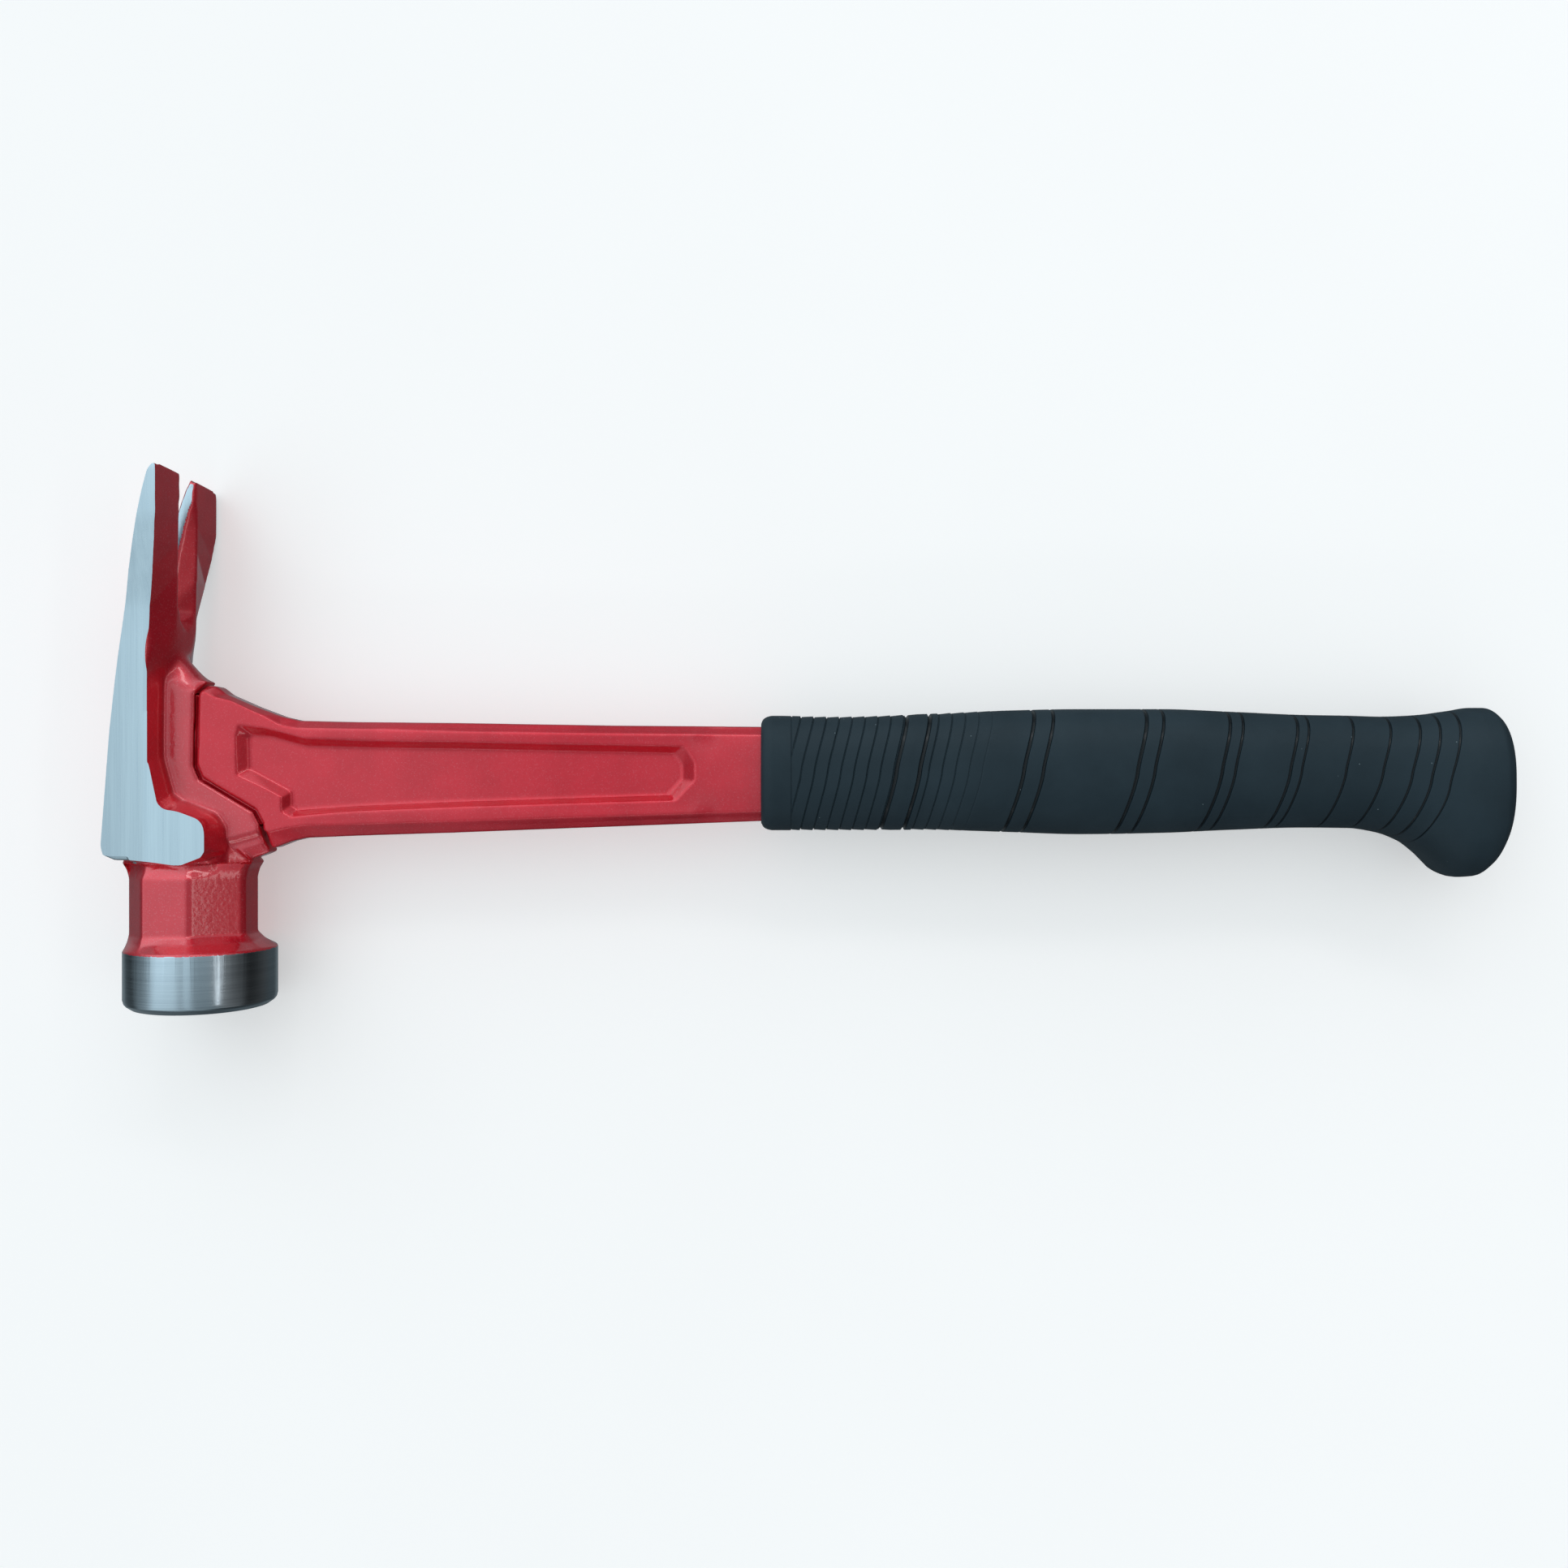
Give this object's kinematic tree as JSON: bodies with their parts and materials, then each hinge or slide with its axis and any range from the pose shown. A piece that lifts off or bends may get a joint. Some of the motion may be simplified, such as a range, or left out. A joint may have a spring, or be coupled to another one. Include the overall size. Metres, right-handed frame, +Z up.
{
  "type": "claw hammer",
  "caption": "Claw hammer lying on its side: forged steel head with straight claw and magnetic nail-starting groove, painted I-section steel shank, moulded rubber grip.",
  "frame": {"origin": "under the middle of the bounding box, on the surface that the hammer lies on, with the hammer on its side", "axes": "+X from the head along the handle to the butt, +Y from the striking face to the claw, +Z up through the side of the hammer"},
  "size_m": [0.318, 0.1222, 0.033],
  "materials": {
    "red_paint": "metallic red lacquer over forged steel, glossy, with fine glitter",
    "ground_steel": "bright ground steel with fine parallel grinding lines",
    "gilt_metal": "gilt plated magnet, satin",
    "hard_plastic": "black moulded plastic",
    "soft_rubber": "matte dark blue-grey elastomer with glossy groove bottoms"
  },
  "bodies": {
    "root": {"hammer_head": "red_paint", "handle_shank": "red_paint", "joint_weld": "ground_steel", "nail_magnet": "gilt_metal", "grip_core": "hard_plastic", "grip_sleeve": "soft_rubber"}
  },
  "joints": []
}
